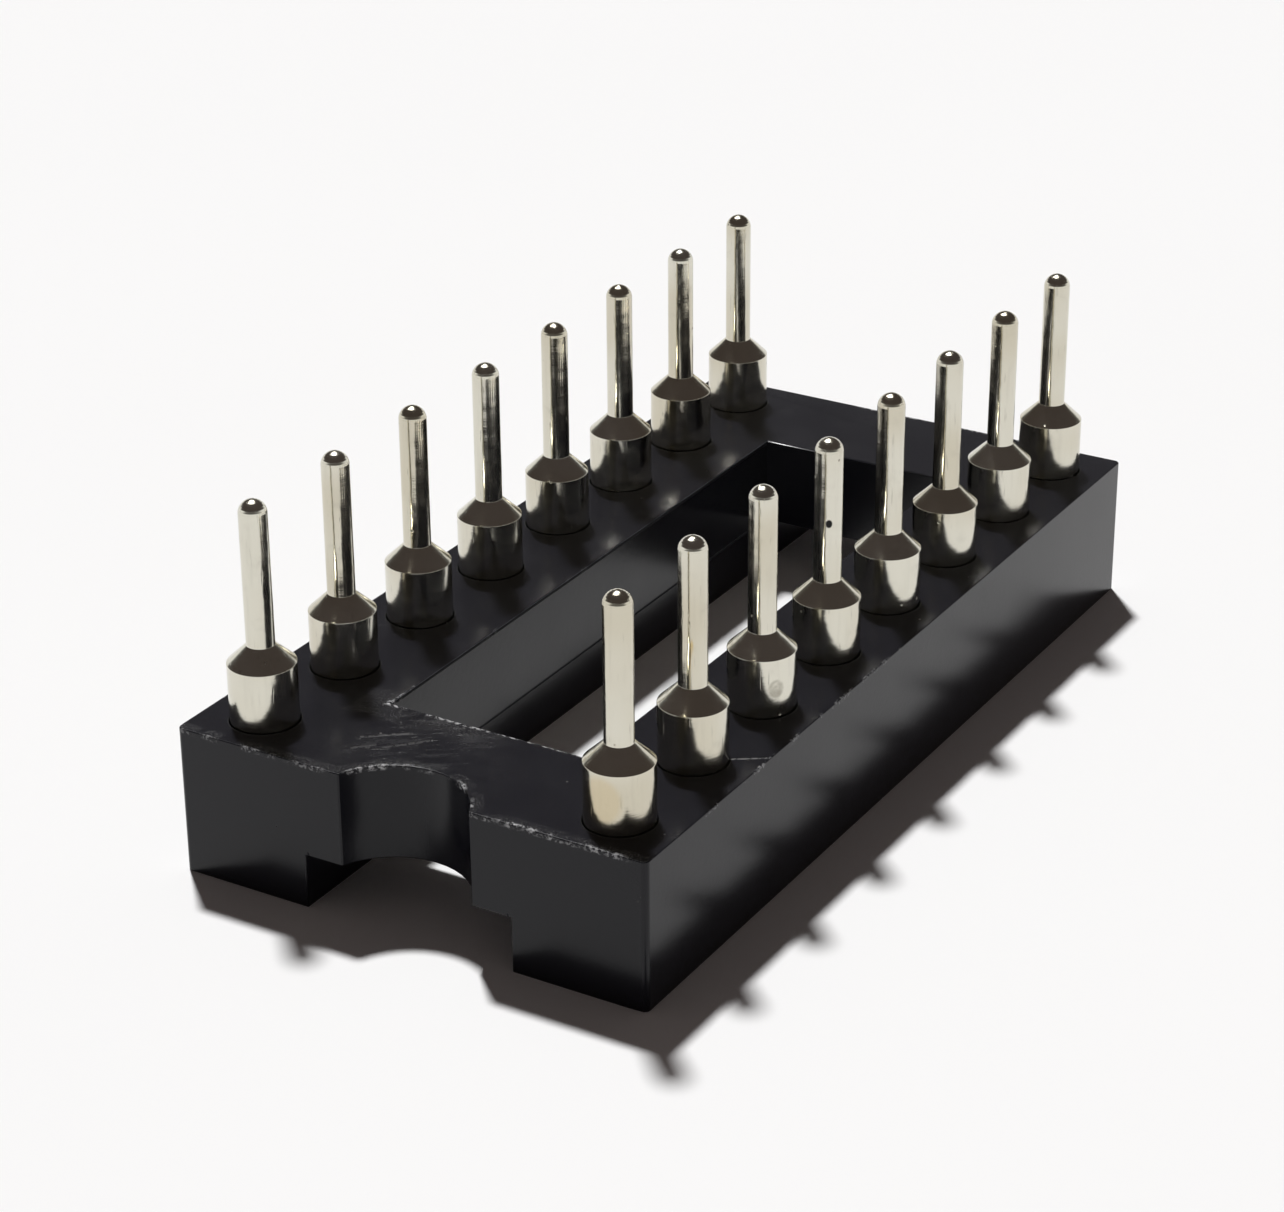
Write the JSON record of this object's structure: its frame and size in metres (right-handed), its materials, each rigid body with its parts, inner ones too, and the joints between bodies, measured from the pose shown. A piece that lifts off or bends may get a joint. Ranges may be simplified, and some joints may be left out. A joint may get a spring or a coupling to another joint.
{
  "type": "dip ic socket",
  "caption": "Dual in-line socket for an integrated circuit: black moulded frame with an index notch, turned contact sleeves with spring clips and round solder tails.",
  "frame": {"origin": "middle of the mating face, on the surface that the socket lies on", "axes": "+Z along the solder tails, +X along the rows away from the index notch, +Y towards the row of contacts 1 to 8"},
  "size_m": [0.02, 0.01, 0.0074],
  "materials": {
    "housing": "black moulded thermoplastic, satin",
    "sleeve": "turned brass, bright tin plate",
    "clip": "spring copper alloy, thin gold flash"
  },
  "bodies": {
    "root": {"housing": "housing", "sleeve_1": "sleeve", "sleeve_2": "sleeve", "sleeve_3": "sleeve", "sleeve_4": "sleeve", "sleeve_5": "sleeve", "sleeve_6": "sleeve", "sleeve_7": "sleeve", "sleeve_8": "sleeve", "sleeve_9": "sleeve", "sleeve_10": "sleeve", "sleeve_11": "sleeve", "sleeve_12": "sleeve", "sleeve_13": "sleeve", "sleeve_14": "sleeve", "sleeve_15": "sleeve", "sleeve_16": "sleeve", "clip_1": "clip", "clip_2": "clip", "clip_3": "clip", "clip_4": "clip", "clip_5": "clip", "clip_6": "clip", "clip_7": "clip", "clip_8": "clip", "clip_9": "clip", "clip_10": "clip", "clip_11": "clip", "clip_12": "clip", "clip_13": "clip", "clip_14": "clip", "clip_15": "clip", "clip_16": "clip"}
  },
  "joints": []
}
